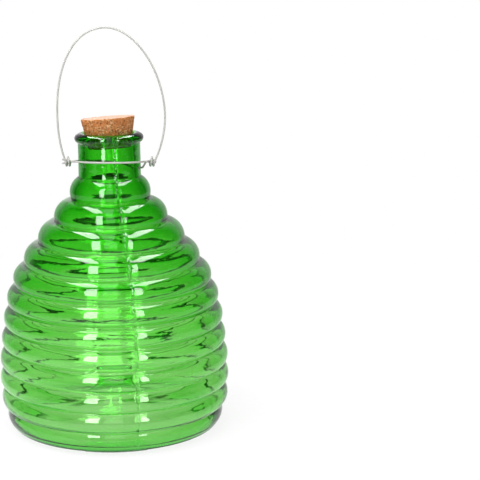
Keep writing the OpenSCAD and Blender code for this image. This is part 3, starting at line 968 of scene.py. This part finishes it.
# Strip lights, in metres: name, lower or front end, upper or back end, width, radiance, and whether light
# that has passed the glass shows them
STRIPS = [
    ("front_left", (-0.124, -0.318, 0.108), (-0.124, -0.242, 0.43), 0.07, 12.0, True),
    ("front_right", (0.136, -0.309, 0.108), (0.136, -0.226, 0.42), 0.07, 11.0, True),
    ("front_middle", (-0.02, -0.95, 0.25), (-0.02, -0.95, 1.2), 0.34, 1.2, True),
    ("floor_lane", (-0.012, 0.1, 0.004), (-0.012, 2.5, 0.004), 0.035, 0.4, True),
    ("overhead_middle", (-0.03, -0.5, 0.8), (-0.03, 0.3, 0.8), 0.14, 1.5, True),
    ("overhead_left", (-0.113, -0.12, 0.47), (-0.113, 0.26, 0.47), 0.085, 11.0, False),
    ("overhead_right", (0.146, -0.12, 0.47), (0.146, 0.28, 0.47), 0.085, 10.0, False),
]
KEY = ("key", (-0.4, -1.4, 1.7), (-0.4, 0.0, 1.7), 1.4)  # the plain light's name, ends and width
AIM = Vector((0, 0, 0.1))  # where the lamps face
BOUNCES = 32  # light caught in the glass wall comes out only after many turns
SENSOR_WIDTH = 36.0  # in millimetres
CLIP_START, CLIP_END = 0.05, 50


def add_strip(name, start, end, width, radiance, through, highlight):
    """A soft lamp from start to end that faces the bottle, for highlights only or for plain light only.

    Its energy is radiance x pi x area. Unless through is set, light past the glass doesn't show it."""
    start, end = Vector(start), Vector(end)
    along = (end - start).normalized()
    middle = (start + end) / 2
    across = (AIM - middle).cross(along).normalized()
    lamp = bpy.data.lights.new(name, "AREA")
    lamp.shape = "RECTANGLE"
    lamp.size, lamp.size_y = width, (end - start).length
    lamp.energy = radiance * math.pi * lamp.size * lamp.size_y
    holder = add_object(name, lamp)
    turn = Matrix((across, along, across.cross(along))).transposed()
    holder.matrix_world = Matrix.Translation(middle) @ turn.to_4x4()
    holder.visible_camera = False
    holder.visible_diffuse = not highlight
    holder.visible_glossy = highlight
    holder.visible_transmission = through


def add_floor(p):
    """The floor that the bottle stands on, one flat face."""
    side, front = p.floor_side, p.floor_front
    corners = [(-side, -front, 0), (side, -front, 0), (side, side, 0), (-side, side, 0)]
    mesh = bpy.data.meshes.new("floor")
    mesh.from_pydata(corners, [], [range(len(corners))])
    mesh.materials.append(white_floor(p))
    floor = add_object("floor", mesh)


def add_camera(p):
    """The photograph's camera: in front of the bottle and above it, aimed at its axis and rolled a little."""
    camera = bpy.data.cameras.new("camera")
    camera.sensor_width, camera.lens, camera.shift_x = SENSOR_WIDTH, p.lens, p.shift
    camera.clip_start, camera.clip_end = CLIP_START, CLIP_END
    holder = add_object("camera", camera)
    holder.location = (p.camera_side, -p.camera_back, p.camera_up)
    look = Vector((0, p.camera_back, p.aim_up - p.camera_up)).to_track_quat("-Z", "Y")
    holder.rotation_euler = (look.to_matrix() @ Matrix.Rotation(-p.roll, 3, "Z")).to_euler()
    return holder


class FLYTRAP_OT_stage(bpy.types.Operator):
    """Set up the floor, the white surroundings, the lamps and the camera"""

    bl_idname = "flytrap.stage"
    bl_label = "Studio"

    def execute(self, context):
        scene, p = context.scene, context.scene.flytrap_stage
        scene.view_settings.view_transform = "Standard"
        for kind in ("max_bounces", "glossy_bounces", "transmission_bounces"):
            setattr(scene.cycles, kind, BOUNCES)
        scene.world = studio_world(p)
        add_floor(p)
        for strip in STRIPS:
            add_strip(*strip, highlight=True)
        add_strip(*KEY, p.key, through=True, highlight=False)
        scene.camera = add_camera(p)
        return {"FINISHED"}


class FLYTRAP_PT_parts(bpy.types.Panel):
    """The fly trap's pieces and its studio"""

    bl_label = "Glass Fly Trap"
    bl_idname = "FLYTRAP_PT_parts"
    bl_space_type = "VIEW_3D"
    bl_region_type = "UI"
    bl_category = "Fly Trap"

    def draw(self, context):
        for name, operator in zip(SETTINGS, OPERATORS):
            box = self.layout.box()
            box.operator(operator.bl_idname)
            settings = getattr(context.scene, name)
            for setting in type(settings).__annotations__:
                box.prop(settings, setting)


OPERATORS = (FLYTRAP_OT_bottle, FLYTRAP_OT_cork, FLYTRAP_OT_wires, FLYTRAP_OT_stage)
CLASSES = (*SETTINGS.values(), *OPERATORS, FLYTRAP_PT_parts)


def register():
    for cls in CLASSES:
        bpy.utils.register_class(cls)
    for name, cls in SETTINGS.items():
        setattr(bpy.types.Scene, name, PointerProperty(type=cls))


def unregister():
    for name in SETTINGS:
        delattr(bpy.types.Scene, name)
    for cls in reversed(CLASSES):
        bpy.utils.unregister_class(cls)


def main():
    """Builds every piece and the studio."""
    register()
    bpy.ops.flytrap.stage()
    bpy.ops.flytrap.bottle()
    bpy.ops.flytrap.cork()
    bpy.ops.flytrap.wires()


if __name__ == "__main__":
    main()
